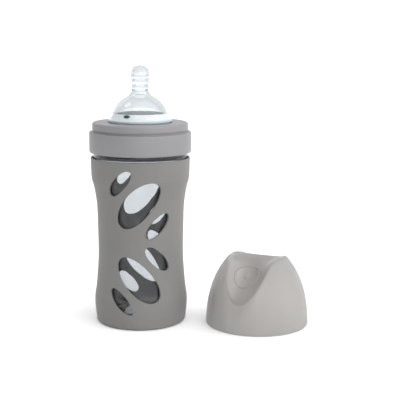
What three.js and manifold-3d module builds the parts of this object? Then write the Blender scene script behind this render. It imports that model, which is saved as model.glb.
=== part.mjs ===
// Wide-neck glass baby bottle with a slotted silicone sleeve, a screw collar, a silicone teat with its
// air valve, and a frosted cap standing beside it. Millimetres, +Z up. The bottle's axis is the Z axis
// and the sleeve's underside is z = 0. Azimuths turn from the front (-Y) towards the right (+X).

import * as THREE from 'three';
import { mergeVertices } from 'three/addons/utils/BufferGeometryUtils.js';
import Module from 'manifold-3d';

const wasm = await Module();
wasm.setup();

// ---- Driving dimensions ----

const GAP = 0.3;
const ROUND_SIDES = 36;

// Sleeve: outer contour as radius and height, from the foot up to the top rim
const SLEEVE_CONTOUR = [
  [32.5, 1.2], [33.2, 7], [33.75, 14], [33.5, 19.5], [32.6, 25.5], [31.7, 35], [31, 45],
  [30.8, 54], [31, 68], [31.4, 84], [32.5, 94], [33.8, 100.5], [35, 105], [35.4, 111],
  [35.6, 118],
];
const SLEEVE_TOP = 120.3;
const SLEEVE_WALL = 1.6;
const SLEEVE_FLOOR = 1.6;
const SLEEVE_FOOT = 1.5;
const SLEEVE_EDGE = 0.5;

// Sleeve slots: [azimuth in degrees, height above the mirror line, half length, half width, tilt].
// They are mirrored below the line. Those behind are stated as seen through the bottle from the front.
const SLOT_MIRROR_Z = 62.8;
const FRONT_SLOTS = [
  [-22.2, 42.3, 12, 4.8, 44.5],
  [-0.2, 26.7, 20.3, 9.9, 47],
  [26.2, 11.8, 11.6, 4.9, 44.5],
];
const BACK_SLOTS = [
  [-23.3, 42.3, 12, 4.8, 44.5],
  [-1.6, 26.7, 20.3, 9.5, 47],
  [24.5, 11.8, 11.8, 5.7, 44.5],
];
const SLOT_SQUARENESS = 2.15;
const SLOT_SIDES = 20;
const SLOT_DEPTH = [24, 40];

// Glass bottle: its walls follow the sleeve between the foot and the shoulder
const GLASS_WALL = 2.4;
const GLASS_FOOT = [[0, 3.3], [14, 3.1], [24, 1.9], [28.6, 1.9], [30.3, 3]];
const GLASS_WALL_Z = [6, 119.3];
const GLASS_SHOULDER = [[33.7, 123.2], [33.2, 124.8], [31.6, 126.3]];
const GLASS_INNER_SHOULDER = [[28.8, 124], [30.7, 120.4]];
const GLASS_INNER_WALL_Z = [11.1, 116.3];
const GLASS_FLOOR = [[27.6, 8.5], [24.4, 7.1], [0, 7.7]];
const NECK_R = 30.6;
const NECK_WALL = 3;
const NECK_START = 127.3;
const NECK_TOP = 140.3;
const NECK_EDGE = 0.8;

// Screw thread between neck and collar: two starts
const THREAD_LEAD = 12;
const THREAD_STARTS = 2;
const THREAD_HEIGHT = 1.3;
const THREAD_BASE = 2.4;
const THREAD_CREST = 1.2;
const THREAD_SWEEP = 240;
const THREAD_Z = 128.6;
const THREAD_ROOT = 0.5;
const THREAD_END_SHARE = 0.2;

// Collar
const BAND_R = 36.5;
const BAND_BOTTOM = 124;
const BAND_TOP = 138.5;
const STEP_R = 34.35;
const COLLAR_TOP = 145.3;
const COLLAR_PLATE = 2.2;
const COLLAR_BORE_R = 32.3;
const COLLAR_SKIRT_R = 34.4;
const TEAT_HOLE_R = 22.2;
const SNAP_GROOVE = 0.5;
const GROOVE_RISE = [1, 1.8];
const BAND_EDGE = 0.6;
const HOLE_EDGE = 0.5;
const SKIRT_RISE = [3.2, 4.2];
// Rounded corners, as steps inwards from the wall and steps away from the face
const BAND_FOOT = [[1.1, 0], [0.3, 0.8], [0, 2.4]];
const STEP_EDGE = [[0, 1.3], [0.4, 0.4], [1.3, 0]];

// Teat: outer contour of the dome and nipple as radius and height
const TEAT_CONTOUR = [
  [21.2, 147.7], [19.7, 150.4], [18.7, 153.4], [16.9, 156.9], [14.2, 160], [11, 162.4],
  [7.6, 164.5], [6.1, 166.6], [5.8, 169.4], [6.1, 173.4], [6.4, 177.6], [6.1, 181],
  [4.6, 183.8], [2.2, 185],
];
const TEAT_TIP = 185.2;
const TEAT_WALL = 1.7;
const TEAT_LIP_R = 22.9;
const TEAT_LIP_H = 1.8;
const TEAT_LIP_EDGE = [0.6, 0.7];
const TEAT_FLANGE_R = 29.9;
const TEAT_BORE_R = 19.2;
const FLOW_HOLE_R = 0.5;

// Air valve: an oval plug through the foot of the teat's dome
const VALVE_AZIMUTH = -25;
const VALVE_Z = 150.4;
const VALVE_HALF = [2.2, 0.9];
const VALVE_RADII = [16.6, 20.2];
const VALVE_HEAD = 0.8;
const VALVE_FLARE = 0.5;

// Cap: a dome pinched by two scoops that meet in a ridge
const CAP_PLACE = [85.1, -7.1];
const CAP_TURN = -25.5;
const CAP_R = 37.05;
const CAP_DOME_H = 60;
const CAP_DOME_POWERS = [1.8, 2.17];
const CAP_WALL = 2;
const CAP_BEAD = 1;
const CAP_BEAD_Z = 2.4;
const RIDGE_Z = 50.3;
const SCOOP_R = 80;
const RIDGE_SLOPE = 24.7;
const SCOOP_DISH = 0.0205;
const SCOOP_DISH_REACH = 17;
const HORN_RISE = 0.0015;
const EDGE_ROUNDING = 2.4;

// ---- Solids ----

// A closed solid from a geometry whose vertices are merged and whose faces point outwards.
function solidFrom(geometry) {
  const bare = geometry.clone();
  bare.deleteAttribute('normal');
  bare.deleteAttribute('uv');
  const merged = mergeVertices(bare, 1e-4);
  const points = merged.attributes.position.array;
  const corners = [...merged.index.array];
  const triangles = [];
  for (let i = 0; i < corners.length; i += 3) {
    const [a, b, c] = corners.slice(i, i + 3);
    if (a !== b && b !== c && c !== a) triangles.push(a, b, c);
  }
  if (signedVolume(points, triangles) < 0) triangles.reverse();
  const mesh = new wasm.Mesh({
    numProp: 3,
    vertProperties: new Float32Array(points),
    triVerts: new Uint32Array(triangles),
  });
  return new wasm.Manifold(mesh);
}

function signedVolume(points, triangles) {
  const corner = (i) => new THREE.Vector3().fromArray(points, 3 * triangles[i]);
  let volume = 0;
  for (let i = 0; i < triangles.length; i += 3) {
    volume += corner(i).dot(corner(i + 1).cross(corner(i + 2))) / 6;
  }
  return volume;
}

function geometryFrom(solid) {
  const mesh = solid.getMesh();
  const geometry = new THREE.BufferGeometry();
  geometry.setAttribute('position', new THREE.BufferAttribute(new Float32Array(mesh.vertProperties), 3));
  geometry.setIndex(new THREE.BufferAttribute(new Uint32Array(mesh.triVerts), 1));
  geometry.computeVertexNormals();
  return geometry;
}

// A profile of [radius, height] points turned about Z. It closes on itself or ends on the axis.
function turned(profile) {
  const points = profile.map(([r, z]) => new THREE.Vector2(r, z));
  const lathe = new THREE.LatheGeometry(points, ROUND_SIDES);
  return lathe.rotateX(Math.PI / 2);
}

// The geometry with each vertex moved by a function of its coordinates.
function bent(geometry, move) {
  const place = geometry.attributes.position;
  for (let i = 0; i < place.count; i++) {
    const [x, y, z] = move(place.getX(i), place.getY(i), place.getZ(i));
    place.setXYZ(i, x, y, z);
  }
  return geometry;
}

function polar(radius, azimuth, height) {
  return [radius * Math.sin(azimuth), -radius * Math.cos(azimuth), height];
}

function node(name, solid, color, roughness, extra = {}) {
  const material = new THREE.MeshStandardMaterial({ color, roughness, metalness: 0, ...extra });
  const mesh = new THREE.Mesh(geometryFrom(solid), material);
  mesh.name = name;
  return mesh;
}

// ---- Contours ----

function smoothContour(points, count) {
  const curve = new THREE.SplineCurve(points.map(([r, z]) => new THREE.Vector2(r, z)));
  return curve.getSpacedPoints(count).map((p) => [p.x, p.y]);
}

// The contour moved sideways to its left by a distance, square to the line at each point.
function offsetContour(contour, distance) {
  return contour.map(([r, z], i) => {
    const before = contour[Math.max(i - 1, 0)];
    const after = contour[Math.min(i + 1, contour.length - 1)];
    const along = new THREE.Vector2(after[0] - before[0], after[1] - before[1]).normalize();
    return [r - along.y * distance, z + along.x * distance];
  });
}

function closed(profile) {
  return [...profile, profile[0]];
}

const sleeveContour = smoothContour(SLEEVE_CONTOUR, 14);

function bodyWall(inset, low, high) {
  const inside = sleeveContour.filter(([, z]) => z > low && z < high);
  return inside.map(([r, z]) => [r - inset, z]);
}

// ---- Sleeve ----

function superellipse(halfLength, halfWidth, squareness, sides) {
  const outline = [];
  for (let i = 0; i < sides; i++) {
    const angle = (2 * Math.PI * i) / sides;
    const x = Math.sign(Math.cos(angle)) * Math.abs(Math.cos(angle)) ** (2 / squareness);
    const y = Math.sign(Math.sin(angle)) * Math.abs(Math.sin(angle)) ** (2 / squareness);
    outline.push(new THREE.Vector2(halfLength * x, halfWidth * y));
  }
  return outline;
}

// A slot cutter whose walls run towards the axis, laid round the body at its own radius.
function slotCutter(azimuth, rise, halfLength, halfWidth, tilt) {
  const outline = superellipse(halfLength, halfWidth, SLOT_SQUARENESS, SLOT_SIDES);
  const tilted = outline.map((p) => p.rotateAround(new THREE.Vector2(), THREE.MathUtils.degToRad(tilt)));
  const [near, far] = SLOT_DEPTH;
  const prism = new THREE.ExtrudeGeometry(new THREE.Shape(tilted), {
    depth: far - near,
    bevelEnabled: false,
  });
  const centre = THREE.MathUtils.degToRad(azimuth);
  const wallR = sleeveRadius(SLOT_MIRROR_Z + rise);
  const lay = (x, y, z) => polar(near + z, centre + x / wallR, SLOT_MIRROR_Z + rise + y);
  return solidFrom(bent(prism, lay));
}

function sleeveRadius(height) {
  const above = sleeveContour.findIndex(([, z]) => z >= height);
  return sleeveContour[above][0];
}

// The slots of one wall, and their mirror images below the line.
function slotCutters(slots, behind) {
  const cutters = [];
  for (const [side, rise, halfLength, halfWidth, tilt] of slots) {
    const azimuth = behind ? 180 - side : side;
    const lean = behind ? -tilt : tilt;
    cutters.push(slotCutter(azimuth, rise, halfLength, halfWidth, lean));
    cutters.push(slotCutter(azimuth, -rise, halfLength, halfWidth, -lean));
  }
  return cutters;
}

function sleeve() {
  const topR = sleeveContour.at(-1)[0];
  const footR = sleeveContour[0][0];
  const outside = [
    [0, 0], [footR - SLEEVE_FOOT, 0], ...sleeveContour,
    [topR, SLEEVE_TOP - SLEEVE_EDGE], [topR - SLEEVE_EDGE, SLEEVE_TOP],
    [topR - SLEEVE_WALL, SLEEVE_TOP],
  ];
  const wall = bodyWall(SLEEVE_WALL, SLEEVE_FLOOR + SLEEVE_FOOT, SLEEVE_TOP).reverse();
  const inside = [...wall, [footR - SLEEVE_WALL - SLEEVE_EDGE, SLEEVE_FLOOR], [0, SLEEVE_FLOOR]];
  let shell = solidFrom(turned([...outside, ...inside]));
  for (const cutter of [...slotCutters(FRONT_SLOTS, false), ...slotCutters(BACK_SLOTS, true)]) {
    shell = shell.subtract(cutter);
  }
  return shell;
}

// ---- Thread ----

// One helical ridge on a wall of the given radius. A negative height stands inwards.
function threadRidge(wallR, height, startAngle, startZ) {
  const root = -Math.sign(height) * THREAD_ROOT;
  const section = new THREE.Shape([
    new THREE.Vector2(root, -THREAD_BASE / 2),
    new THREE.Vector2(height, -THREAD_CREST / 2),
    new THREE.Vector2(height, THREAD_CREST / 2),
    new THREE.Vector2(root, THREAD_BASE / 2),
  ]);
  const steps = Math.round((THREAD_SWEEP / 360) * ROUND_SIDES);
  const bar = new THREE.ExtrudeGeometry(section, { depth: 1, steps, bevelEnabled: false });
  const sweep = THREE.MathUtils.degToRad(THREAD_SWEEP);
  const wrap = (x, y, along) => {
    const runOut = Math.min(1, (steps * Math.min(along, 1 - along)) / 2);
    const share = x === root ? 1 : THREE.MathUtils.lerp(THREAD_END_SHARE, 1, runOut);
    const reach = root + (x - root) * share;
    const rise = (THREAD_LEAD * along * THREAD_SWEEP) / 360;
    return polar(wallR + reach, startAngle + sweep * along, startZ + rise + y);
  };
  return solidFrom(bent(bar, wrap));
}

function withThread(wall, wallR, height, startZ) {
  let threaded = wall;
  for (let start = 0; start < THREAD_STARTS; start++) {
    const angle = (2 * Math.PI * start) / THREAD_STARTS;
    threaded = threaded.add(threadRidge(wallR, height, angle, startZ));
  }
  return threaded;
}

// ---- Glass bottle ----

function glassBottle() {
  const outerInset = SLEEVE_WALL + GAP;
  const innerInset = outerInset + GLASS_WALL;
  const boreR = NECK_R - NECK_WALL;
  const outside = [
    ...GLASS_FOOT, ...bodyWall(outerInset, ...GLASS_WALL_Z), ...GLASS_SHOULDER,
    [NECK_R, NECK_START], [NECK_R, NECK_TOP - NECK_EDGE], [NECK_R - NECK_EDGE, NECK_TOP],
  ];
  const inside = [
    [boreR + NECK_EDGE, NECK_TOP], [boreR, NECK_TOP - NECK_EDGE], [boreR, NECK_START],
    ...GLASS_INNER_SHOULDER, ...bodyWall(innerInset, ...GLASS_INNER_WALL_Z).reverse(), ...GLASS_FLOOR,
  ];
  return withThread(solidFrom(turned([...outside, ...inside])), NECK_R, THREAD_HEIGHT, THREAD_Z);
}

// ---- Collar ----

function collar() {
  const grooveR = STEP_R - SNAP_GROOVE;
  const underside = COLLAR_TOP - COLLAR_PLATE;
  const [grooveLow, grooveHigh] = GROOVE_RISE.map((rise) => BAND_TOP + rise);
  const [skirtLow, skirtHigh] = SKIRT_RISE.map((rise) => BAND_BOTTOM + rise);
  const profile = [
    [COLLAR_SKIRT_R, BAND_BOTTOM],
    ...BAND_FOOT.map(([inwards, up]) => [BAND_R - inwards, BAND_BOTTOM + up]),
    [BAND_R, BAND_TOP - BAND_EDGE], [BAND_R - BAND_EDGE, BAND_TOP],
    [grooveR, BAND_TOP], [grooveR, grooveLow], [STEP_R, grooveHigh],
    ...STEP_EDGE.map(([inwards, down]) => [STEP_R - inwards, COLLAR_TOP - down]),
    [TEAT_HOLE_R + HOLE_EDGE, COLLAR_TOP], [TEAT_HOLE_R, COLLAR_TOP - HOLE_EDGE],
    [TEAT_HOLE_R, underside], [COLLAR_BORE_R, underside],
    [COLLAR_BORE_R, skirtHigh], [COLLAR_SKIRT_R, skirtLow],
  ];
  const halfPitch = THREAD_LEAD / THREAD_STARTS / 2;
  const shell = solidFrom(turned(closed(profile)));
  return withThread(shell, COLLAR_BORE_R, -THREAD_HEIGHT, THREAD_Z + halfPitch);
}

// ---- Teat and air valve ----

function ovalPrism(halfWidth, halfHeight, radii) {
  const [near, far] = radii;
  const outline = new THREE.Shape(superellipse(halfWidth, halfHeight, 2, 20));
  const prism = new THREE.ExtrudeGeometry(outline, { depth: far - near, bevelEnabled: false });
  const turn = THREE.MathUtils.degToRad(VALVE_AZIMUTH);
  const lay = (x, y, z) => {
    const [px, py] = polar(near + z, turn, 0);
    return [px + x * Math.cos(turn), py + x * Math.sin(turn), VALVE_Z + y];
  };
  return solidFrom(bent(prism, lay));
}

function airValve() {
  const [headR, tipR] = VALVE_RADII;
  const [halfWidth, halfHeight] = VALVE_HALF;
  const stem = ovalPrism(halfWidth, halfHeight, [headR + VALVE_HEAD - 0.1, tipR]);
  const head = ovalPrism(halfWidth + VALVE_FLARE, halfHeight + VALVE_FLARE, [headR, headR + VALVE_HEAD]);
  return head.add(stem);
}

function teat() {
  const flangeLow = NECK_TOP + GAP;
  const flangeHigh = COLLAR_TOP - COLLAR_PLATE - GAP;
  const bodyR = TEAT_HOLE_R - GAP;
  const lipLow = COLLAR_TOP + GAP;
  const dome = smoothContour(TEAT_CONTOUR, 19);
  const cavity = offsetContour(dome, TEAT_WALL).reverse().filter(([r]) => r > 1);
  const lipHigh = lipLow + TEAT_LIP_H;
  const [edgeInwards, edgeDown] = TEAT_LIP_EDGE;
  const profile = [
    [TEAT_BORE_R + 1, flangeLow], [TEAT_FLANGE_R, flangeLow], [TEAT_FLANGE_R, flangeHigh],
    [bodyR, flangeHigh], [bodyR, lipLow], [TEAT_LIP_R, lipLow], [TEAT_LIP_R, lipHigh - edgeDown],
    [TEAT_LIP_R - edgeInwards, lipHigh], ...dome, [FLOW_HOLE_R, TEAT_TIP],
    [FLOW_HOLE_R, TEAT_TIP - TEAT_WALL], ...cavity, [TEAT_BORE_R, flangeHigh + 1],
  ];
  const [halfWidth, halfHeight] = VALVE_HALF;
  const seat = ovalPrism(halfWidth + GAP, halfHeight + GAP, [VALVE_RADII[0] - 1, TEAT_LIP_R + 1]);
  return solidFrom(turned(closed(profile))).subtract(seat);
}

// ---- Cap ----

// The lower of two heights, rounded over where they are close to each other.
function roundedMin(a, b, width) {
  const share = THREE.MathUtils.clamp(0.5 + (b - a) / (2 * width), 0, 1);
  return THREE.MathUtils.lerp(b, a, share) - width * share * (1 - share);
}

// Height of the scoops over the cap's plan: across is square to the ridge and along follows it.
// Each scoop falls from the ridge in an arc and dishes more, the further it is from the ridge.
function scoopHeight(across, along, inset) {
  const slope = THREE.MathUtils.degToRad(RIDGE_SLOPE);
  const centreZ = RIDGE_Z - SCOOP_R * Math.cos(slope);
  const reach = Math.hypot(across, 1) - 1 + SCOOP_R * Math.sin(slope);
  const arc = Math.sqrt((SCOOP_R - inset) ** 2 - reach ** 2);
  const dish = HORN_RISE + SCOOP_DISH * THREE.MathUtils.smoothstep(Math.abs(across), 0, SCOOP_DISH_REACH);
  return centreZ + arc + dish * along ** 2;
}

function capBody(inset, skirt) {
  const [radiusPower, heightPower] = CAP_DOME_POWERS;
  const rows = 16;
  const dome = [];
  for (let i = 0; i <= rows; i++) {
    const angle = (Math.PI / 2) * (i / rows);
    const r = (CAP_R - inset) * Math.cos(angle) ** (2 / radiusPower);
    const z = (CAP_DOME_H - inset) * Math.sin(angle) ** (2 / heightPower);
    dome.push([i === rows ? 0 : r, z]);
  }
  const body = turned([...skirt, ...dome.filter(([, z]) => z > skirt.at(-1)[1] + 1)]);
  return solidFrom(bent(body, (x, y, z) => {
    const top = scoopHeight(y, x, inset);
    return [x, y, roundedMin(z, top, EDGE_ROUNDING)];
  }));
}

function cap() {
  const innerR = CAP_R - CAP_WALL;
  const outer = capBody(0, [[0, 0], [CAP_R - 0.5, 0], [CAP_R, 0.5]]);
  const bead = [
    [innerR, CAP_BEAD_Z - CAP_BEAD], [innerR - CAP_BEAD, CAP_BEAD_Z], [innerR, CAP_BEAD_Z + CAP_BEAD],
  ];
  const hollow = capBody(CAP_WALL, [[0, -1], [innerR, -1], ...bead]);
  const [x, y] = CAP_PLACE;
  return outer.subtract(hollow).rotate([0, 0, CAP_TURN]).translate([x, y, 0]);
}

// ---- Assembly ----

const bottle = new THREE.Group();
bottle.add(node('glass_bottle', glassBottle(), 0xe8eef0, 0.05, { transparent: true, opacity: 0.35 }));
bottle.add(node('silicone_sleeve', sleeve(), 0x8d8c8a, 0.75));
bottle.add(node('screw_collar', collar(), 0x9b9a9c, 0.5));
bottle.add(node('teat', teat(), 0xeaf1f2, 0.15, { transparent: true, opacity: 0.4 }));
bottle.add(node('air_valve', airValve(), 0x1f5a55, 0.4));
bottle.add(node('cap', cap(), 0xb0ada9, 0.35, { transparent: true, opacity: 0.9 }));

export default bottle;
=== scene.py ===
"""A wide-neck glass baby bottle in a slotted silicone sleeve, with its screw collar, teat and loose cap.

Sizes are millimetres, turned into metres where a mesh is made. The bottle stands on z = 0 with its
axis on Z. Azimuths are in degrees, from the front (-Y) towards the right (+X).
"""

import math

import bmesh
import bpy
from mathutils import Matrix, Vector


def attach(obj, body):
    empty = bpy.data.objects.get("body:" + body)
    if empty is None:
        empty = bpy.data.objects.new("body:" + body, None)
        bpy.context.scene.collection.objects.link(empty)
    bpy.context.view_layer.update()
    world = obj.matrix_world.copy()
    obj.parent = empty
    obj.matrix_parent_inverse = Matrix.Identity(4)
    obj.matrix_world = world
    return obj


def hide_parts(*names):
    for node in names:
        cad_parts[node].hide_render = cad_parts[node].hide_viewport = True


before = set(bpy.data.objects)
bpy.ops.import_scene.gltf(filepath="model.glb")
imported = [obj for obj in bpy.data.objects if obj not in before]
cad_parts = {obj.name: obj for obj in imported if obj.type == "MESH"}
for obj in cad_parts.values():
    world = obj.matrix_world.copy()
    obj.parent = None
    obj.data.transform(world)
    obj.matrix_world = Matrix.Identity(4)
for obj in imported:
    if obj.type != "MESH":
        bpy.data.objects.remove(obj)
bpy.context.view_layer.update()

MM = 0.001
ROUND_SIDES = 160
CLEARANCE = 0.3

# Sleeve: outer contour as radius and height, from the foot up to the top rim
SLEEVE_CONTOUR = [
    (32.5, 1.2), (33.2, 7), (33.75, 14), (33.5, 19.5), (32.6, 25.5), (31.7, 35), (31, 45),
    (30.8, 54), (31, 68), (31.4, 84), (32.5, 94), (33.8, 100.5), (35, 105), (35.4, 111),
    (35.6, 118), (35.6, 120.3),
]
SLEEVE_WALL = 1.6
SLEEVE_FLOOR = 1.6
SLEEVE_FOOT_R = 31.2
SLEEVE_FOOT_ROUNDING = 0.8
SLEEVE_MOUTH_ROUNDING = 0.4
SLEEVE_RIM_ROUNDING = 0.6

# Slots: azimuth, height above the mirror line, half length, half width, tilt in degrees.
# They are mirrored below the line. Those behind are stated as seen through the bottle from the front.
SLOT_MIRROR_Z = 62.8
FRONT_SLOTS = [
    (-22.2, 42.3, 12, 4.8, 44.5),
    (-0.2, 26.7, 20.3, 9.9, 47),
    (26.2, 11.8, 11.6, 4.9, 44.5),
]
BACK_SLOTS = [
    (-23.3, 42.3, 12, 4.8, 44.5),
    (-1.6, 26.7, 20.3, 9.5, 47),
    (24.5, 11.8, 11.8, 5.7, 44.5),
]
SLOT_SQUARENESS = 2.15
SLOT_SIDES = 88
SLOT_RIM_ROUNDING = 0.45
SLOT_REACH = 8

# Glass bottle: its walls follow the sleeve between the foot and the shoulder
GLASS_WALL = 2.4
GLASS_PUNT = [(0, 3.3), (8, 3.25), (14, 3.05), (19, 2.5), (22, 2.05), (24.5, 1.9)]
GLASS_FOOT_CORNER = (28.2, 5.1)
GLASS_FOOT_ROUNDING = 3.2
GLASS_WALL_Z = (6, 120.8)
GLASS_SHOULDER = [
    (33.7, 121.5), (33.7, 123.2), (33.2, 124.8), (31.6, 126.3), (30.75, 127.3), (30.6, 128.8),
]
GLASS_INNER_SHOULDER = [(27.6, 128.5), (27.75, 127), (28.9, 124), (30.7, 120.4), (31.3, 116.8)]
GLASS_INNER_WALL_Z = (13, 115.5)
GLASS_FLOOR_CORNER = (24.6, 12.1)
GLASS_FLOOR_ROUNDING = 5
GLASS_FLOOR = [(16, 7.2), (8, 7.6), (0, 7.7)]
NECK_R = 30.6
NECK_BORE_R = 27.6
NECK_MIDDLE = 135
NECK_TOP = 140.3
NECK_ROUNDING = 0.9

# Screw thread
THREAD_LEAD = 12
THREAD_SWEEP = 240
THREAD_HEIGHT = 1.3
THREAD_HALF_BASE = 1.2
THREAD_HALF_CREST = 0.6
THREAD_Z = 128.6
THREAD_ROOT = 0.5
THREAD_ROUNDING = 0.35

# Collar
BAND_R = 36.5
BAND_BOTTOM = 124
BAND_TOP = 138.5
STEP_R = 34.35
SNAP_GROOVE_R = 33.85
COLLAR_TOP = 145.3
COLLAR_UNDERSIDE = 143.1
COLLAR_BORE_R = 32.3
COLLAR_SKIRT_R = 34.4
TEAT_HOLE_R = 22.2
GROOVE_LOW = 139.6
GROOVE_HIGH = 140.4
SKIRT_LOW = 127.2
SKIRT_HIGH = 128.2
STEP_TAPER = 0.15
BAND_FOOT_ROUNDING = 0.8
BAND_TOP_ROUNDING = 0.7
STEP_ROUNDING = 1.4
HOLE_ROUNDING = 0.4
GROOVE_ROUNDING = 0.3
SMALL_ROUNDING = 0.25

# Teat: outer contour of the dome and nipple as radius and height
TEAT_CONTOUR = [
    (21.2, 147.7), (19.7, 150.4), (18.7, 153.4), (16.9, 156.9), (14.2, 160), (11, 162.4),
    (7.6, 164.5), (6.1, 166.6), (5.8, 169.4), (6.1, 173.4), (6.4, 177.6), (6.1, 181),
    (4.6, 183.8), (2.2, 185),
]
TEAT_TIP = 185.2
TEAT_WALL = 1.7
TEAT_LIP_R = 22.9
TEAT_LIP_H = 1.7
LIP_ROUNDING = 0.6
FLANGE_ROUNDING = 0.5
TEAT_FLANGE_R = 29.9
TEAT_BORE_R = 19.2
FLOW_HOLE_R = 0.5
NIPPLE_RIBS = (167.5, 171.5, 175.6, 178.8)
RIB_HEIGHT = 0.35
RIB_HALF_WIDTH = 0.55

# Heights up to which the teat has its lip finish and its white foot finish, a painted reflection that
# stands in for the white surroundings seen in the thick foot
LIP_TOP = 147.4
PAINTED_REFLECTION_TOP = 151.8

# Air valve through the foot of the teat's dome
VALVE_AZIMUTH = -25
VALVE_Z = 150.4
VALVE_HALF_WIDTH = 2.2
VALVE_HALF_HEIGHT = 0.9
VALVE_HEAD_R = 16.6
VALVE_TIP_R = 20.2
VALVE_HEAD_THICKNESS = 0.8
VALVE_HEAD_FLARE = 0.5
VALVE_ROUNDING = 0.18

# Cap: a dome pinched by two scoops that meet in a ridge
CAP_PLACE = (85.1, -7.1)
CAP_TURN = -25.5
CAP_R = 37.05
CAP_DOME_H = 60
CAP_RADIUS_POWER = 1.8
CAP_HEIGHT_POWER = 2.17
CAP_WALL = 2
CAP_BEAD = 1
CAP_BEAD_Z = 2.4
CAP_GRID = 196
RIDGE_Z = 50.3
SCOOP_R = 80
RIDGE_SLOPE = 24.7
SCOOP_DISH = 0.0205
SCOOP_DISH_REACH = 17
HORN_RISE = 0.0015
EDGE_ROUNDING = 2.4

# Raised ring and drop on the front scoop
RING_ACROSS = -19.5
RING_R = 9
RING_THICKNESS = 0.5
DROP_R = 2.6


# ---- Hand tools ----

def take_up(piece):
    """Make this piece the only selected and active one."""
    bpy.ops.object.select_all(action="DESELECT")
    piece.select_set(True)
    bpy.context.view_layer.objects.active = piece


def name_new_piece(name):
    piece = bpy.context.active_object
    piece.name = name
    piece.data.name = name
    return piece


def pick(piece, kind, wanted):
    """In edit mode, select the vertices, edges or faces for which wanted(element) is true."""
    bpy.ops.mesh.select_mode(type=kind)
    bpy.ops.mesh.select_all(action="DESELECT")
    mesh = bmesh.from_edit_mesh(piece.data)
    elements = {"VERT": mesh.verts, "EDGE": mesh.edges, "FACE": mesh.faces}[kind]
    for element in elements:
        if wanted(element):
            element.select_set(True)
    mesh.select_flush_mode()
    bmesh.update_edit_mesh(piece.data)


def move_points(piece, move):
    """Move each vertex, in object mode, by a function of its place in millimetres."""
    for vertex in piece.data.vertices:
        x, y, z = vertex.co / MM
        vertex.co = Vector(move(x, y, z)) * MM
    piece.data.update()


def tidy_mesh(piece):
    """Merge doubles, point the faces outwards and go back to object mode."""
    take_up(piece)
    bpy.ops.object.mode_set(mode="EDIT")
    bpy.ops.mesh.select_all(action="SELECT")
    bpy.ops.mesh.remove_doubles(threshold=0.002 * MM)
    bpy.ops.mesh.normals_make_consistent(inside=False)
    if bmesh.from_edit_mesh(piece.data).calc_volume(signed=True) < 0:
        bpy.ops.mesh.flip_normals()
    bpy.ops.object.mode_set(mode="OBJECT")


def draw_chain(name, points):
    """A chain of edges in the plane y = 0, drawn from point to point of (radius, height)."""
    bpy.ops.object.select_all(action="DESELECT")
    bpy.ops.mesh.primitive_plane_add(size=MM)
    piece = name_new_piece(name)
    bpy.ops.object.mode_set(mode="EDIT")
    bpy.ops.mesh.select_mode(type="VERT")
    bpy.ops.mesh.merge(type="CENTER")
    r, z = points[0]
    bpy.ops.transform.translate(value=(r * MM, 0, z * MM))
    for next_r, next_z in points[1:]:
        step = ((next_r - r) * MM, 0, (next_z - z) * MM)
        bpy.ops.mesh.extrude_vertices_move(TRANSFORM_OT_translate={"value": step})
        r, z = next_r, next_z
    return piece


def turned(name, outline, sides=ROUND_SIDES):
    """A solid turned about Z from an outline that closes on itself or starts and ends on the axis."""
    meets_axis = outline[0][0] == 0 and outline[-1][0] == 0
    points = outline if meets_axis else [*outline, outline[0]]
    piece = draw_chain(name, points)
    bpy.ops.mesh.select_all(action="SELECT")
    bpy.ops.mesh.remove_doubles(threshold=0.001 * MM)
    bpy.ops.mesh.spin(steps=sides, angle=2 * math.pi, center=(0, 0, 0), axis=(0, 0, 1))
    bpy.ops.object.mode_set(mode="OBJECT")
    tidy_mesh(piece)
    return piece


def round_rings(piece, rings, width, segments=4):
    """Bevel the edges that lie on rings of these radii and heights."""
    def on_a_ring(edge):
        places = [(math.hypot(v.co.x, v.co.y) / MM, v.co.z / MM) for v in edge.verts]
        return any(all(math.dist(place, ring) < 0.02 for place in places) for ring in rings)

    take_up(piece)
    bpy.ops.object.mode_set(mode="EDIT")
    pick(piece, "EDGE", on_a_ring)
    bpy.ops.mesh.bevel(offset=width * MM, segments=segments, affect="EDGES")
    bpy.ops.object.mode_set(mode="OBJECT")


def combine(piece, tool, operation):
    """Boolean of the piece with a tool, which is used up."""
    take_up(piece)
    modifier = piece.modifiers.new("combine", "BOOLEAN")
    modifier.operation = operation
    modifier.solver = "EXACT"
    modifier.object = tool
    bpy.ops.object.modifier_apply(modifier=modifier.name)
    bpy.data.objects.remove(tool, do_unlink=True)


def join_pieces(pieces):
    take_up(pieces[0])
    for piece in pieces[1:]:
        piece.select_set(True)
    bpy.ops.object.join()
    return pieces[0]


def smooth_faces(piece, crease=35):
    take_up(piece)
    bpy.ops.object.shade_smooth_by_angle(angle=math.radians(crease))


def fit(piece, body, node, slot, *finishes):
    """Hang the finished piece on its body in place of the plain node, with its materials."""
    for material in finishes:
        piece.data.materials.append(material)
    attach(piece, body)
    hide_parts(node)


# ---- Curves and contours ----

def smooth_contour(points, spacing):
    """Points about one spacing apart on a smooth curve through the given points."""
    ends = [points[0], *points, points[-1]]
    curve = []
    for i in range(len(points) - 1):
        p0, p1, p2, p3 = (Vector(p) for p in ends[i:i + 4])
        steps = max(2, round((p2 - p1).length / spacing))
        for k in range(steps):
            t = k / steps
            bend = 0.5 * (p2 - p0)
            bow = p0 - 2.5 * p1 + 2 * p2 - 0.5 * p3
            twist = -0.5 * p0 + 1.5 * p1 - 1.5 * p2 + 0.5 * p3
            curve.append(tuple(p1 + bend * t + bow * t ** 2 + twist * t ** 3))
    curve.append(tuple(points[-1]))
    return curve


def offset_contour(contour, distance):
    """The contour moved square to itself, to the left of its direction."""
    moved = []
    for i, (r, z) in enumerate(contour):
        before = Vector(contour[max(i - 1, 0)])
        after = Vector(contour[min(i + 1, len(contour) - 1)])
        along = (after - before).normalized()
        moved.append((r - along.y * distance, z + along.x * distance))
    return moved


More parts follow.
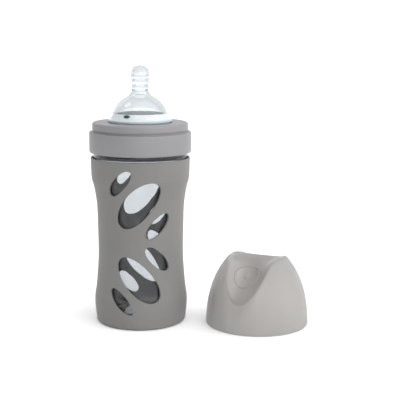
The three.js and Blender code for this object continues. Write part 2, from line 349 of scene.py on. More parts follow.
def arc(centre, radius, start, end, steps):
    """Points on an arc in the profile plane, with angles in degrees from the +radius direction."""
    points = []
    for k in range(steps + 1):
        angle = math.radians(start + (end - start) * k / steps)
        points.append((centre[0] + radius * math.cos(angle), centre[1] + radius * math.sin(angle)))
    return points


def polar(radius, azimuth, height):
    return radius * math.sin(azimuth), -radius * math.cos(azimuth), height


def superellipse(angle, squareness):
    """A point of the unit superellipse, for which a squareness of 2 is a circle."""
    power = 2 / squareness
    x = math.copysign(abs(math.cos(angle)) ** power, math.cos(angle))
    y = math.copysign(abs(math.sin(angle)) ** power, math.sin(angle))
    return x, y


sleeve_contour = smooth_contour(SLEEVE_CONTOUR, 1.6)


def body_radius(height):
    """Outer radius of the sleeve at a height."""
    for (low_r, low_z), (high_r, high_z) in zip(sleeve_contour, sleeve_contour[1:]):
        if height <= high_z:
            return low_r + (high_r - low_r) * (height - low_z) / (high_z - low_z)
    return sleeve_contour[-1][0]


def body_wall(inset, low, high):
    return [(r - inset, z) for r, z in sleeve_contour if low < z < high]


# ---- Silicone sleeve ----

def slot_cutter(azimuth, rise, half_length, half_width, tilt):
    """A bar of the slot's outline, laid round the sleeve, that flares out to leave a rounded rim."""
    centre = math.radians(azimuth)
    slant = math.radians(tilt)
    middle_z = SLOT_MIRROR_Z + rise
    wall_r = body_radius(middle_z)
    flare = arc((0, -0.89 * SLOT_RIM_ROUNDING), SLOT_RIM_ROUNDING, 180, 118, 5)
    stages = [(-SLOT_REACH, 0), (-SLEEVE_WALL / 2, 0)]
    stages += [(depth, along + SLOT_RIM_ROUNDING) for along, depth in flare]
    stages += [(0.9, stages[-1][1] + 0.5), (SLOT_REACH, stages[-1][1] + 0.6)]

    bpy.ops.object.select_all(action="DESELECT")
    bpy.ops.mesh.primitive_circle_add(vertices=SLOT_SIDES, radius=MM, fill_type="NGON")
    cutter = name_new_piece("slot_cutter")
    bpy.ops.object.mode_set(mode="EDIT")
    for _ in stages[1:]:
        bpy.ops.mesh.extrude_region_move(TRANSFORM_OT_translate={"value": (0, 0, MM)})
    bpy.ops.object.mode_set(mode="OBJECT")

    def lay_round(x, y, z):
        depth, growth = stages[round(z)]
        along, beside = superellipse(math.atan2(y, x), SLOT_SQUARENESS)
        along *= half_length + growth
        beside *= half_width + growth
        sideways = along * math.cos(slant) - beside * math.sin(slant)
        height = middle_z + along * math.sin(slant) + beside * math.cos(slant)
        return polar(body_radius(height) + depth, centre + sideways / wall_r, height)

    move_points(cutter, lay_round)
    tidy_mesh(cutter)
    return cutter


def build_sleeve():
    """A cup with the bottle's shape, cut by six slots in front and six behind."""
    foot_r = SLEEVE_CONTOUR[0][0]
    top_r = SLEEVE_CONTOUR[-1][0]
    top_z = SLEEVE_CONTOUR[-1][1]
    floor_r = foot_r - SLEEVE_WALL - 0.6
    inner_low = body_wall(SLEEVE_WALL, SLEEVE_FLOOR + 1, top_z - 0.1)
    outline = [(0, 0), (0.5 * foot_r, 0), (SLEEVE_FOOT_R, 0)]
    outline += sleeve_contour[:-1]
    outline += [(top_r, top_z), (top_r - SLEEVE_WALL, top_z)]
    outline += reversed(inner_low)
    outline += [(floor_r, SLEEVE_FLOOR), (0.5 * foot_r, SLEEVE_FLOOR), (0, SLEEVE_FLOOR)]
    sleeve = turned("sleeve", outline)
    round_rings(sleeve, [(SLEEVE_FOOT_R, 0)], SLEEVE_FOOT_ROUNDING)
    round_rings(sleeve, [(top_r - SLEEVE_WALL, top_z)], SLEEVE_MOUTH_ROUNDING)
    round_rings(sleeve, [(top_r, top_z)], SLEEVE_RIM_ROUNDING)
    cutters = []
    for azimuth, rise, half_length, half_width, tilt in FRONT_SLOTS:
        cutters.append(slot_cutter(azimuth, rise, half_length, half_width, tilt))
        cutters.append(slot_cutter(azimuth, -rise, half_length, half_width, -tilt))
    for azimuth, rise, half_length, half_width, tilt in BACK_SLOTS:
        cutters.append(slot_cutter(180 - azimuth, rise, half_length, half_width, -tilt))
        cutters.append(slot_cutter(180 - azimuth, -rise, half_length, half_width, tilt))
    combine(sleeve, join_pieces(cutters), "DIFFERENCE")
    tidy_mesh(sleeve)
    smooth_faces(sleeve)
    return sleeve


# ---- Screw thread ----

def thread_ridge(wall_r, height, start_turn, start_z):
    """One start of the thread: a section spun part of a turn, then wound into a helix."""
    root = -math.copysign(THREAD_ROOT, height)
    section = [
        (wall_r + root, -THREAD_HALF_BASE), (wall_r + height, -THREAD_HALF_CREST),
        (wall_r + height, THREAD_HALF_CREST), (wall_r + root, THREAD_HALF_BASE),
    ]
    ridge = draw_chain("thread_ridge", [*section, section[0]])
    bpy.ops.mesh.select_all(action="SELECT")
    bpy.ops.mesh.remove_doubles(threshold=0.001 * MM)
    pick(ridge, "VERT", lambda v: abs(v.co.x / MM - wall_r - height) < 0.01)
    bpy.ops.mesh.bevel(offset=THREAD_ROUNDING * MM, segments=3, affect="VERTICES")
    bpy.ops.mesh.select_all(action="SELECT")
    sweep = math.radians(THREAD_SWEEP)
    bpy.ops.mesh.spin(steps=96, angle=sweep, center=(0, 0, 0), axis=(0, 0, 1))
    bpy.ops.mesh.select_all(action="SELECT")
    bpy.ops.mesh.fill_holes(sides=0)
    bpy.ops.object.mode_set(mode="OBJECT")

    def wind(x, y, z):
        turn = -math.atan2(y, x) % (2 * math.pi)
        turn = 0 if turn > 2 * math.pi - 0.01 else turn
        share = turn / sweep
        run_out = min(1, 10 * min(share, 1 - share))
        reach = math.hypot(x, y) - wall_r
        lift = root + (reach - root) * (0.3 + 0.7 * math.sin(0.5 * math.pi * run_out))
        r = wall_r + (reach if abs(reach - root) < 0.01 else lift)
        rise = start_z + THREAD_LEAD * turn / (2 * math.pi)
        angle = start_turn + turn
        return r * math.sin(angle), -r * math.cos(angle), z + rise

    move_points(ridge, wind)
    tidy_mesh(ridge)
    return ridge


def add_thread(piece, wall_r, height, start_z):
    ridges = [thread_ridge(wall_r, height, turn, start_z) for turn in (0, math.pi)]
    combine(piece, join_pieces(ridges), "UNION")


# ---- Glass bottle ----

def build_glass():
    """A thick-based glass body with a rounded shoulder and a wide threaded neck."""
    inset = SLEEVE_WALL + CLEARANCE
    outside = [*GLASS_PUNT, *arc(GLASS_FOOT_CORNER, GLASS_FOOT_ROUNDING, -90, -8, 8)]
    outside += body_wall(inset, *GLASS_WALL_Z)
    outside += smooth_contour(GLASS_SHOULDER, 0.5)
    outside += [(NECK_R, NECK_MIDDLE), (NECK_R, NECK_TOP)]
    inside = [(NECK_BORE_R, NECK_TOP), (NECK_BORE_R, NECK_MIDDLE)]
    inside += smooth_contour(GLASS_INNER_SHOULDER, 1)
    inside += reversed(body_wall(inset + GLASS_WALL, *GLASS_INNER_WALL_Z))
    inside += arc(GLASS_FLOOR_CORNER, GLASS_FLOOR_ROUNDING, -4, -90, 8)
    inside += GLASS_FLOOR
    glass = turned("glass_body", outside + inside)
    round_rings(glass, [(NECK_R, NECK_TOP), (NECK_BORE_R, NECK_TOP)], NECK_ROUNDING)
    add_thread(glass, NECK_R, THREAD_HEIGHT, THREAD_Z)
    tidy_mesh(glass)
    smooth_faces(glass)
    return glass


# ---- Screw collar ----

def build_collar():
    """A wide band with a smaller step on it, a groove between them and a flat plate round the teat."""
    plate_r = STEP_R - STEP_TAPER
    outline = [
        (COLLAR_SKIRT_R, BAND_BOTTOM), (BAND_R, BAND_BOTTOM), (BAND_R, BAND_TOP),
        (SNAP_GROOVE_R, BAND_TOP), (SNAP_GROOVE_R, GROOVE_LOW), (STEP_R, GROOVE_HIGH),
        (plate_r, COLLAR_TOP), (28, COLLAR_TOP), (TEAT_HOLE_R, COLLAR_TOP),
        (TEAT_HOLE_R, COLLAR_UNDERSIDE), (COLLAR_BORE_R, COLLAR_UNDERSIDE),
        (COLLAR_BORE_R, SKIRT_HIGH), (COLLAR_SKIRT_R, SKIRT_LOW),
    ]
    collar = turned("screw_ring", outline)
    round_rings(collar, [(BAND_R, BAND_BOTTOM)], BAND_FOOT_ROUNDING)
    round_rings(collar, [(BAND_R, BAND_TOP)], BAND_TOP_ROUNDING)
    round_rings(collar, [(plate_r, COLLAR_TOP)], STEP_ROUNDING, 6)
    round_rings(collar, [(TEAT_HOLE_R, COLLAR_TOP)], HOLE_ROUNDING)
    round_rings(collar, [(COLLAR_SKIRT_R, BAND_BOTTOM), (SNAP_GROOVE_R, BAND_TOP)], SMALL_ROUNDING)
    round_rings(collar, [(SNAP_GROOVE_R, GROOVE_LOW), (STEP_R, GROOVE_HIGH)], GROOVE_ROUNDING)
    add_thread(collar, COLLAR_BORE_R, -THREAD_HEIGHT, THREAD_Z + THREAD_LEAD / 4)
    tidy_mesh(collar)
    smooth_faces(collar)
    return collar


# ---- Teat and air valve ----

def nipple_rib(height):
    """How far the faint ribs stand inwards from the nipple's inner wall."""
    return sum(RIB_HEIGHT * math.exp(-((height - rib) / RIB_HALF_WIDTH) ** 2) for rib in NIPPLE_RIBS)


def build_teat():
    """A dome with a nipple, whose flange and lip grip the collar's plate between them."""
    flange_low = NECK_TOP + CLEARANCE
    flange_high = COLLAR_UNDERSIDE - CLEARANCE
    waist_r = TEAT_HOLE_R - CLEARANCE
    lip_low = COLLAR_TOP + CLEARANCE
    lip_high = lip_low + TEAT_LIP_H
    dome = smooth_contour(TEAT_CONTOUR, 0.7)
    cavity = [(r, z) for r, z in reversed(offset_contour(dome, TEAT_WALL)) if r > 1]
    cavity = [(r - nipple_rib(z), z) for r, z in cavity]
    outline = [
        (TEAT_BORE_R + 1, flange_low), (TEAT_FLANGE_R, flange_low), (TEAT_FLANGE_R, flange_high),
        (waist_r, flange_high), (waist_r, lip_low), (TEAT_LIP_R, lip_low), (TEAT_LIP_R, lip_high),
    ]
    outline += dome
    outline += [(1.2, TEAT_TIP), (FLOW_HOLE_R, TEAT_TIP), (FLOW_HOLE_R, TEAT_TIP - TEAT_WALL)]
    outline += cavity
    outline += [(TEAT_BORE_R, flange_high + 1)]
    teat = turned("teat_dome", outline)
    round_rings(teat, [(TEAT_LIP_R, lip_low), (TEAT_LIP_R, lip_high)], LIP_ROUNDING)
    round_rings(teat, [(TEAT_FLANGE_R, flange_low), (TEAT_FLANGE_R, flange_high)], FLANGE_ROUNDING)
    seat = oval_bar("valve_seat", CLEARANCE, VALVE_HEAD_R - 1, TEAT_LIP_R + 1)
    combine(teat, seat, "DIFFERENCE")
    tidy_mesh(teat)
    smooth_faces(teat)
    return teat


def tint_lip_and_paint_foot_reflection(teat):
    """Part the dome above its lip and above its foot, and give each part its own silicone; the foot's
    white is a painted reflection of the surroundings.
    """
    for level in (LIP_TOP, PAINTED_REFLECTION_TOP):
        take_up(teat)
        bpy.ops.object.mode_set(mode="EDIT")
        bpy.ops.mesh.select_all(action="SELECT")
        bpy.ops.mesh.bisect(plane_co=(0, 0, level * MM), plane_no=(0, 0, 1))
        bpy.ops.object.mode_set(mode="OBJECT")
    # Faces between the lip and the foot's top level get the white that is painted in as a reflection of
    # the surroundings.
    for face in teat.data.polygons:
        height = face.center.z / MM
        face.material_index = 2 if height < LIP_TOP else 1 if height < PAINTED_REFLECTION_TOP else 0


def oval_bar(name, growth, near_r, far_r):
    """An oval bar that points away from the axis at the valve's place."""
    turn = math.radians(VALVE_AZIMUTH)
    bpy.ops.object.select_all(action="DESELECT")
    bpy.ops.mesh.primitive_cylinder_add(vertices=48, radius=MM, depth=2 * MM)
    bar = name_new_piece(name)

    def point_outwards(x, y, z):
        across = x * (VALVE_HALF_WIDTH + growth)
        px, py, _ = polar(near_r + (far_r - near_r) * (z + 1) / 2, turn, 0)
        height = VALVE_Z + y * (VALVE_HALF_HEIGHT + growth)
        return px + across * math.cos(turn), py + across * math.sin(turn), height

    move_points(bar, point_outwards)
    tidy_mesh(bar)
    return bar


def build_valve():
    """A small oval plug with a wider head on the milk side."""
    stem = oval_bar("air_vent", 0, VALVE_HEAD_R + 0.5, VALVE_TIP_R)
    head = oval_bar("vent_head", VALVE_HEAD_FLARE, VALVE_HEAD_R, VALVE_HEAD_R + VALVE_HEAD_THICKNESS)
    combine(stem, head, "UNION")
    modifier = stem.modifiers.new("soft_edges", "BEVEL")
    modifier.width = VALVE_ROUNDING * MM
    modifier.segments = 3
    modifier.limit_method = "ANGLE"
    bpy.ops.object.modifier_apply(modifier=modifier.name)
    tidy_mesh(stem)
    smooth_faces(stem)
    return stem


# ---- Cap ----

def smooth_step(value, start, end):
    share = min(max((value - start) / (end - start), 0), 1)
    return share * share * (3 - 2 * share)


def scoop_height(across, along, inset=0):
    """Height of the scoops over the cap's plan. Each falls from the ridge in an arc and dishes."""
    slope = math.radians(RIDGE_SLOPE)
    centre_z = RIDGE_Z - SCOOP_R * math.cos(slope)
    reach = math.hypot(across, 1) - 1 + SCOOP_R * math.sin(slope)
    fall = math.sqrt((SCOOP_R - inset) ** 2 - reach ** 2)
    dish = HORN_RISE + SCOOP_DISH * smooth_step(abs(across), 0, SCOOP_DISH_REACH)
    return centre_z + fall + dish * along ** 2


def dome_point(share, inset):
    """Radius and height of the whole dome, for a share from 0 at the rim to 1 at the crown."""
    angle = share * math.pi / 2
    r = (CAP_R - inset) * math.cos(angle) ** (2 / CAP_RADIUS_POWER)
    z = (CAP_DOME_H - inset) * math.sin(angle) ** (2 / CAP_HEIGHT_POWER)
    return r, z


def rounded_low(a, b, width):
    """The lower of two heights, rounded over where they are close to each other."""
    share = min(max(0.5 + (b - a) / (2 * width), 0), 1)
    return b + (a - b) * share - width * share * (1 - share)


def relax_inside(sheet):
    """Even out the grid everywhere but along its open edge."""
    take_up(sheet)
    bpy.ops.object.mode_set(mode="EDIT")
    bpy.ops.mesh.select_mode(type="VERT")
    bpy.ops.mesh.select_all(action="DESELECT")
    bpy.ops.mesh.select_non_manifold()
    bpy.ops.mesh.select_all(action="INVERT")
    bpy.ops.mesh.vertices_smooth(factor=0.5, repeat=4)
    bpy.ops.object.mode_set(mode="OBJECT")


def cap_sheet(name, inset, lowest):
    """One face of the cap's wall: a square grid pressed into a disc and lifted to the cap's form."""
    bpy.ops.object.select_all(action="DESELECT")
    bpy.ops.mesh.primitive_grid_add(x_subdivisions=CAP_GRID, y_subdivisions=CAP_GRID, size=2 * MM)
    sheet = name_new_piece(name)
    lowest_share = (2 / math.pi) * math.asin((lowest / (CAP_DOME_H - inset)) ** (CAP_HEIGHT_POWER / 2))

    def press(x, y, _):
        disc_x = x * math.sqrt(max(1 - y * y / 2, 0))
        disc_y = y * math.sqrt(max(1 - x * x / 2, 0))
        spread = min(math.hypot(disc_x, disc_y), 1)
        r, z = dome_point(1 - (1 - lowest_share) * spread, inset)
        turn = math.atan2(disc_y, disc_x)
        along = r * math.cos(turn)
        across = r * math.sin(turn)
        return along, across, rounded_low(z, scoop_height(across, along, inset), EDGE_ROUNDING)

    move_points(sheet, press)
    relax_inside(sheet)
    return sheet


def extend_rim(sheet, stages):
    """Draw the open edge of a sheet on through rings of the given radii and heights."""
    take_up(sheet)
    bpy.ops.object.mode_set(mode="EDIT")
    bpy.ops.mesh.select_mode(type="EDGE")
    bpy.ops.mesh.select_all(action="DESELECT")
    bpy.ops.mesh.select_non_manifold()
    mesh = bmesh.from_edit_mesh(sheet.data)
    start = next(v.co.copy() for v in mesh.verts if v.select)
    r, z = math.hypot(start.x, start.y) / MM, start.z / MM
    for next_r, next_z in stages:
        bpy.ops.mesh.extrude_region_move(TRANSFORM_OT_translate={"value": (0, 0, (next_z - z) * MM)})
        bpy.ops.transform.resize(value=(next_r / r, next_r / r, 1), center_override=(0, 0, 0))
        r, z = next_r, next_z
    bpy.ops.object.mode_set(mode="OBJECT")


def lay_on_scoop(across, along, lift):
    """A point that far above the front scoop, square to it."""
    reach = 0.05
    height = scoop_height(across, along)
    slope_along = (scoop_height(across, along + reach) - height) / reach
    slope_across = (scoop_height(across + reach, along) - height) / reach
    up = Vector((-slope_along, -slope_across, 1)).normalized()
    return Vector((along, across, height)) + lift * up


def scoop_mark():
    """A plain ring with a drop in it, standing a little proud of the front scoop."""
    bpy.ops.object.select_all(action="DESELECT")
    bpy.ops.mesh.primitive_torus_add(
        major_radius=RING_R * MM, minor_radius=RING_THICKNESS * MM, major_segments=128, minor_segments=14,
    )
    ring = name_new_piece("ring")
    bpy.ops.object.select_all(action="DESELECT")
    bpy.ops.mesh.primitive_uv_sphere_add(segments=48, ring_count=24, radius=DROP_R * MM)
    drop = name_new_piece("drop")

    def draw_out(x, y, z):
        point = max(y, 0) / DROP_R
        waist = 1 - 0.75 * point ** 1.5
        return x * waist, y * (1 + 0.7 * point), z * RING_THICKNESS / DROP_R * waist

    move_points(drop, draw_out)
    mark = join_pieces([ring, drop])

    def lay(x, y, z):
        slant = math.radians(RIDGE_SLOPE + 13)
        return lay_on_scoop(RING_ACROSS + y * math.cos(slant), x, z)

    move_points(mark, lay)
    tidy_mesh(mark)
    return mark


def mark_polish(piece):
    """A polish attribute: 1 on the scoops, 0 on the frosted dome, with a soft step at the edge; and an
    edge attribute that marks a narrow band along the scoops' rounded rim for a painted highlight.
    """
    polish = piece.data.attributes.new("polish", "FLOAT", "POINT")
    edge = piece.data.attributes.new("edge", "FLOAT", "POINT")
    for vertex in piece.data.vertices:
        along, across, z = vertex.co / MM
        r = min(math.hypot(along, across) / CAP_R, 1)
        angle = math.acos(r ** (CAP_RADIUS_POWER / 2))
        dome_z = CAP_DOME_H * math.sin(angle) ** (2 / CAP_HEIGHT_POWER)
        depth = dome_z - scoop_height(across, along)
        polish.data[vertex.index].value = smooth_step(depth, -0.2, 0.5)
        # The edge band carries a painted highlight: a lighter line where the rounded rim would catch the
        # light.
        edge.data[vertex.index].value = math.exp(-((depth + 0.3) / (0.45 * EDGE_ROUNDING)) ** 2)


def place_cap(piece):
    """Turn the cap on its own axis and carry it to its place beside the bottle."""
    place = Matrix.Translation(Vector((*CAP_PLACE, 0)) * MM)
    piece.data.transform(place @ Matrix.Rotation(math.radians(CAP_TURN), 4, "Z"))


def build_cap():
    """A thin dome pinched by two scoops, with a snap bead inside its mouth."""
    outer = cap_sheet("drip_cap", 0, 0.8)
    bore = CAP_R - CAP_WALL
    meeting = (bore + 0.3, 0)
    extend_rim(outer, [(CAP_R, 0.5), (CAP_R - 0.15, 0.15), (CAP_R - 0.5, 0), meeting])
    inner = cap_sheet("cap_lining", CAP_WALL, CAP_BEAD_Z + 1.6)
    bead = [
        (bore, CAP_BEAD_Z + 1.1), (bore - 0.6 * CAP_BEAD, CAP_BEAD_Z + 0.6), (bore - CAP_BEAD, CAP_BEAD_Z),
        (bore - 0.6 * CAP_BEAD, CAP_BEAD_Z - 0.6), (bore, CAP_BEAD_Z - 1.1), (bore, 0.3), meeting,
    ]
    extend_rim(inner, bead)
    cap = join_pieces([outer, inner])
    tidy_mesh(cap)
    combine(cap, scoop_mark(), "UNION")
    tidy_mesh(cap)
    mark_polish(cap)
    smooth_faces(cap, 40)
    place_cap(cap)
    return cap


# ---- Finishes ----

def tone(red, green, blue):
    """A colour given as display values from 0 to 255, as the shader wants it."""
    channels = []
    for value in (red, green, blue):
        share = value / 255
        channels.append(share / 12.92 if share < 0.04045 else ((share + 0.055) / 1.055) ** 2.4)
    return (*channels, 1)


def new_finish(name):
    material = bpy.data.materials.new(name)
    material.use_nodes = True
    tree = material.node_tree
    return material, tree, tree.nodes["Principled BSDF"]


def add_node(tree, kind, **settings):
    node = tree.nodes.new(kind)
    for key, value in settings.items():
        setattr(node, key, value)
    return node


def place_group(tree, group, **values):
    node = tree.nodes.new("ShaderNodeGroup")
    node.node_tree = group
    for key, value in values.items():
        node.inputs[key.replace("_", " ")].default_value = value
    return node


def mix_tones(tree, share, first, second):
    """A colour between two, each a tone or the socket of another mix."""
    mix = add_node(tree, "ShaderNodeMix", data_type="RGBA")
    tree.links.new(share, mix.inputs[0])
    for socket, value in ((mix.inputs[6], first), (mix.inputs[7], second)):
        if isinstance(value, bpy.types.NodeSocket):
            tree.links.new(value, socket)
        else:
            socket.default_value = value
    return mix.outputs[2]


def map_share(tree, share, low, high):
    """A share from 0 to 1, spread from low to high."""
    spread = add_node(tree, "ShaderNodeMapRange")
    tree.links.new(share, spread.inputs["Value"])
    spread.inputs["To Min"].default_value = low
    spread.inputs["To Max"].default_value = high
    return spread.outputs["Result"]


def bump_from(tree, shader, height, distance, strength=1.0):
    bump = add_node(tree, "ShaderNodeBump")
    bump.inputs["Strength"].default_value = strength
    bump.inputs["Distance"].default_value = distance * MM
    tree.links.new(height, bump.inputs["Height"])
    tree.links.new(bump.outputs["Normal"], shader.inputs["Normal"])


def tint_inside(tree, colour, density):
    """Let the light lose colour along its way through the solid."""
    volume = add_node(tree, "ShaderNodeVolumeAbsorption")
    volume.inputs["Color"].default_value = colour
    volume.inputs["Density"].default_value = density
    tree.links.new(volume.outputs["Volume"], tree.nodes["Material Output"].inputs["Volume"])


def start_group(name, inputs, outputs):
    """An empty node group with float inputs, their first values, and float outputs."""
    group = bpy.data.node_groups.new(name, "ShaderNodeTree")
    for label, value in inputs.items():
        socket = group.interface.new_socket(label, in_out="INPUT", socket_type="NodeSocketFloat")
        socket.default_value = value
    for label in outputs:
        group.interface.new_socket(label, in_out="OUTPUT", socket_type="NodeSocketFloat")
    return group, group.nodes.new("NodeGroupInput"), group.nodes.new("NodeGroupOutput")


def grain_group():
    """Fine moulding grain as a height, and a slow mottle for colour, both from 0 to 1."""
    inputs = {"Grain Size": 0.3, "Mottle Size": 12}
    group, given, result = start_group("moulding_grain", inputs, ["Grain", "Mottle"])
    place = add_node(group, "ShaderNodeTexCoord")
    for label, source, detail in (("Grain", "Grain Size", 3), ("Mottle", "Mottle Size", 2)):
        scale = add_node(group, "ShaderNodeMath", operation="DIVIDE")
        scale.inputs[0].default_value = 1 / MM
        group.links.new(given.outputs[source], scale.inputs[1])
        noise = add_node(group, "ShaderNodeTexNoise")
        noise.inputs["Detail"].default_value = detail
        group.links.new(place.outputs["Object"], noise.inputs["Vector"])
        group.links.new(scale.outputs[0], noise.inputs["Scale"])
        group.links.new(noise.outputs["Fac"], result.inputs[label])
    return group


def speck_group():
    """Small scattered specks of dust, as a mask from 0 to 1."""
    inputs = {"Spacing": 5, "Size": 0.06}
    group, given, result = start_group("dust_specks", inputs, ["Specks"])
    place = add_node(group, "ShaderNodeTexCoord")
    scale = add_node(group, "ShaderNodeMath", operation="DIVIDE")
    scale.inputs[0].default_value = 1 / MM
    group.links.new(given.outputs["Spacing"], scale.inputs[1])
    cells = add_node(group, "ShaderNodeTexVoronoi")
    group.links.new(place.outputs["Object"], cells.inputs["Vector"])
    group.links.new(scale.outputs[0], cells.inputs["Scale"])
    inside = add_node(group, "ShaderNodeMath", operation="LESS_THAN")
    group.links.new(cells.outputs["Distance"], inside.inputs[0])
    group.links.new(given.outputs["Size"], inside.inputs[1])
    group.links.new(inside.outputs[0], result.inputs["Specks"])
    return group


grain = grain_group()
specks = speck_group()


def sleeve_finish():
    """Matte grey silicone with a fine grain and a little dust."""
    material, tree, shader = new_finish("matte_silicone")
    skin = place_group(tree, grain, Grain_Size=0.35, Mottle_Size=14)
    dust = place_group(tree, specks, Spacing=6, Size=0.03)
    body = mix_tones(tree, skin.outputs["Mottle"], tone(109, 109, 108), tone(117, 116, 114))
    dusted = mix_tones(tree, dust.outputs["Specks"], body, tone(150, 150, 148))
    tree.links.new(dusted, shader.inputs["Base Color"])
    tree.links.new(map_share(tree, skin.outputs["Mottle"], 0.58, 0.72), shader.inputs["Roughness"])
    shader.inputs["IOR"].default_value = 1.41
    shader.inputs["Sheen Weight"].default_value = 0.12
    shader.inputs["Sheen Roughness"].default_value = 0.5
    bump_from(tree, shader, skin.outputs["Grain"], 0.02)
    return material


def glass_finish():
    """Clear glass with faint waves in it."""
    material, tree, shader = new_finish("clear_glass")
    waves = place_group(tree, grain, Grain_Size=22, Mottle_Size=60)
    tint = mix_tones(tree, waves.outputs["Mottle"], tone(220, 222, 225), tone(225, 227, 229))
    tree.links.new(tint, shader.inputs["Base Color"])
    shader.inputs["Transmission Weight"].default_value = 1
    shader.inputs["Roughness"].default_value = 0.0
    shader.inputs["IOR"].default_value = 1.47
    tint_inside(tree, tone(170, 190, 190), 25)
    bump_from(tree, shader, waves.outputs["Grain"], 0.25)
    return material


def collar_finish():
    """Satin moulded plastic, cool grey."""
    material, tree, shader = new_finish("satin_plastic")
    skin = place_group(tree, grain, Grain_Size=0.25, Mottle_Size=18)
    dust = place_group(tree, specks, Spacing=7, Size=0.025)
    body = mix_tones(tree, skin.outputs["Mottle"], tone(123, 122, 124), tone(130, 129, 131))
    dusted = mix_tones(tree, dust.outputs["Specks"], body, tone(158, 158, 158))
    tree.links.new(dusted, shader.inputs["Base Color"])
    tree.links.new(map_share(tree, skin.outputs["Mottle"], 0.38, 0.5), shader.inputs["Roughness"])
    shader.inputs["IOR"].default_value = 1.49
    bump_from(tree, shader, skin.outputs["Grain"], 0.012)
    return material


def clear_teat_finish():
    """Clear soft silicone."""
    material, tree, shader = new_finish("clear_silicone")
    skin = place_group(tree, grain, Grain_Size=1.2, Mottle_Size=9)
    tint = mix_tones(tree, skin.outputs["Mottle"], tone(249, 251, 252), tone(253, 254, 254))
    tree.links.new(tint, shader.inputs["Base Color"])
    tree.links.new(map_share(tree, skin.outputs["Mottle"], 0.02, 0.07), shader.inputs["Roughness"])
    shader.inputs["Transmission Weight"].default_value = 1
    shader.inputs["IOR"].default_value = 1.41
    tint_inside(tree, tone(180, 190, 198), 120)
    bump_from(tree, shader, skin.outputs["Grain"], 0.003)
    return material


def cloudy_and_painted_white_silicone(name, darker, lighter, see_through):
    """The teat's silicone where it is thicker and lets less light through; on the foot its white is a
    painted reflection of the surroundings.
    """
    material, tree, shader = new_finish(name)
    skin = place_group(tree, grain, Grain_Size=1.2, Mottle_Size=9)
    tree.links.new(mix_tones(tree, skin.outputs["Mottle"], darker, lighter), shader.inputs["Base Color"])
    tree.links.new(map_share(tree, skin.outputs["Mottle"], 0.1, 0.18), shader.inputs["Roughness"])
    shader.inputs["Transmission Weight"].default_value = see_through
    shader.inputs["IOR"].default_value = 1.41
    bump_from(tree, shader, skin.outputs["Grain"], 0.004)
    return material


def painted_reflection_teat_finish():
    """Painted reflection: white, for the foot of the dome, standing in for the white surroundings
    reflected inside the thick silicone.
    """
    return cloudy_and_painted_white_silicone("silicone_painted_white_reflection", tone(226, 232, 236), tone(236, 240, 243), 0.35)


def lip_finish():
    """With a blue cast, for the lip and the flange."""
    return cloudy_and_painted_white_silicone("lip_silicone", tone(200, 214, 224), tone(216, 227, 234), 0.4)


def valve_finish():
    """Dark teal silicone."""
    material, tree, shader = new_finish("teal_silicone")
    skin = place_group(tree, grain, Grain_Size=0.3, Mottle_Size=2)
    body = mix_tones(tree, skin.outputs["Mottle"], tone(16, 74, 70), tone(30, 98, 92))
    tree.links.new(body, shader.inputs["Base Color"])
    shader.inputs["Roughness"].default_value = 0.35
    shader.inputs["IOR"].default_value = 1.41
    bump_from(tree, shader, skin.outputs["Grain"], 0.01)
    return material


def cap_finish():
    """Tinted see-through plastic: frosted on the dome, polished on the scoops, with a painted highlight
    along the scoops' rim.
    """
    material, tree, shader = new_finish("frosted_plastic")
    skin = place_group(tree, grain, Grain_Size=0.3, Mottle_Size=16)
    polish = add_node(tree, "ShaderNodeAttribute", attribute_name="polish").outputs["Fac"]
    edge = add_node(tree, "ShaderNodeAttribute", attribute_name="edge").outputs["Fac"]
    frosted = mix_tones(tree, skin.outputs["Mottle"], tone(214, 212, 210), tone(220, 218, 216))
    body = mix_tones(tree, polish, frosted, tone(188, 185, 182))
    # A lighter tone along the scoops' rim: a painted highlight.
    with_painted_edge_highlight = mix_tones(tree, edge, body, tone(224, 223, 221))
    tree.links.new(with_painted_edge_highlight, shader.inputs["Base Color"])
    tree.links.new(map_share(tree, polish, 0.5, 0.32), shader.inputs["Roughness"])
    tree.links.new(map_share(tree, polish, 0, 1), shader.inputs["Coat Weight"])
    shader.inputs["Coat Roughness"].default_value = 0.06
    shader.inputs["Transmission Weight"].default_value = 0.88
    shader.inputs["IOR"].default_value = 1.5
    bump_from(tree, shader, skin.outputs["Grain"], 0.01)
    return material


def floor_finish():
    """Plain pale paper, softly lit from below."""
    material, tree, shader = new_finish("pale_paper")
    fibres = place_group(tree, grain, Grain_Size=1.5, Mottle_Size=120)
    body = mix_tones(tree, fibres.outputs["Mottle"], tone(243, 243, 243), tone(246, 246, 246))
    tree.links.new(body, shader.inputs["Base Color"])
    shader.inputs["Roughness"].default_value = 0.85
    shader.inputs["Emission Color"].default_value = (1, 1, 1, 1)
    shader.inputs["Emission Strength"].default_value = 0.02
    return material


# ---- Studio ----

def set_camera():
    """An 85 mm lens looking slightly down on the bottle."""
    camera = bpy.data.cameras.new("view")
    camera.lens = 85
    camera.sensor_width = 36
    camera.clip_end = 20
    holder = bpy.data.objects.new("view", camera)
    bpy.context.collection.objects.link(holder)
    look_down = Matrix.Rotation(math.radians(90 - 10.253), 4, "X")
    roll = Matrix.Rotation(math.radians(0.328), 4, "Z")
    holder.matrix_world = Matrix.Translation(Vector((43.05, -674.18, 210.69)) * MM) @ look_down @ roll
    bpy.context.scene.camera = holder


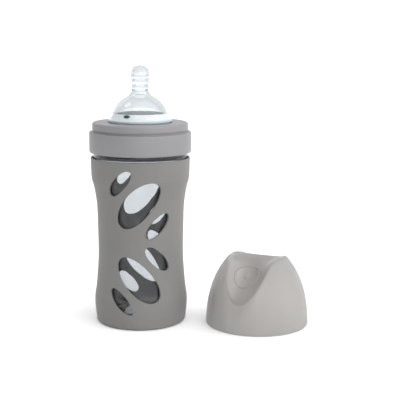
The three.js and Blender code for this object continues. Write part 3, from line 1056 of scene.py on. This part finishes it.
def soft_light(name, comes_from, spread, strength):
    """A wide distant light, so that the paper is lit evenly all over."""
    lamp = bpy.data.lights.new(name, "SUN")
    lamp.angle = math.radians(spread)
    lamp.energy = strength
    holder = bpy.data.objects.new(name, lamp)
    bpy.context.collection.objects.link(holder)
    holder.rotation_euler = Vector(comes_from).to_track_quat("Z", "Y").to_euler()


def set_room():
    """A white room that is dimmer in front and to the left, where the camera stands."""
    world = bpy.data.worlds.new("white_room")
    world.use_nodes = True
    tree = world.node_tree
    background = tree.nodes["Background"]
    way = add_node(tree, "ShaderNodeTexCoord")
    facing = add_node(tree, "ShaderNodeVectorMath", operation="DOT_PRODUCT")
    facing.inputs[1].default_value = (0.8, 0.58, 0.15)
    tree.links.new(way.outputs["Generated"], facing.inputs[0])
    spread = add_node(tree, "ShaderNodeMapRange", interpolation_type="SMOOTHSTEP")
    spread.inputs["From Min"].default_value = -0.9
    spread.inputs["From Max"].default_value = 0.1
    spread.inputs["To Min"].default_value = 0.3
    spread.inputs["To Max"].default_value = 1.06
    tree.links.new(facing.outputs["Value"], spread.inputs["Value"])
    tree.links.new(spread.outputs["Result"], background.inputs["Strength"])
    background.inputs["Color"].default_value = (1, 1, 1, 1)
    bpy.context.scene.world = world


def lay_floor():
    bpy.ops.object.select_all(action="DESELECT")
    bpy.ops.mesh.primitive_plane_add(size=8, location=(0, 0, -0.0001))
    floor = name_new_piece("paper_floor")
    floor.data.materials.append(floor_finish())


bpy.context.scene.view_settings.view_transform = "Standard"
set_camera()
set_room()
lay_floor()
soft_light("key_right", (0.6, -0.72, 0.8), 110, 2.3)
soft_light("window_left", (-0.57, 0.15, 0.78), 20, 0.25)

fit(build_sleeve(), "bottle", "silicone_sleeve", "sleeve_silicone", sleeve_finish())
fit(build_glass(), "bottle", "glass_bottle", "glass", glass_finish())
fit(build_collar(), "collar", "screw_collar", "collar_plastic", collar_finish())
teat = build_teat()
fit(teat, "teat_body", "teat", "teat_silicone", clear_teat_finish(), painted_reflection_teat_finish(), lip_finish())
tint_lip_and_paint_foot_reflection(teat)
fit(build_valve(), "teat_body", "air_valve", "valve_silicone", valve_finish())
fit(build_cap(), "cap_body", "cap", "cap_plastic", cap_finish())
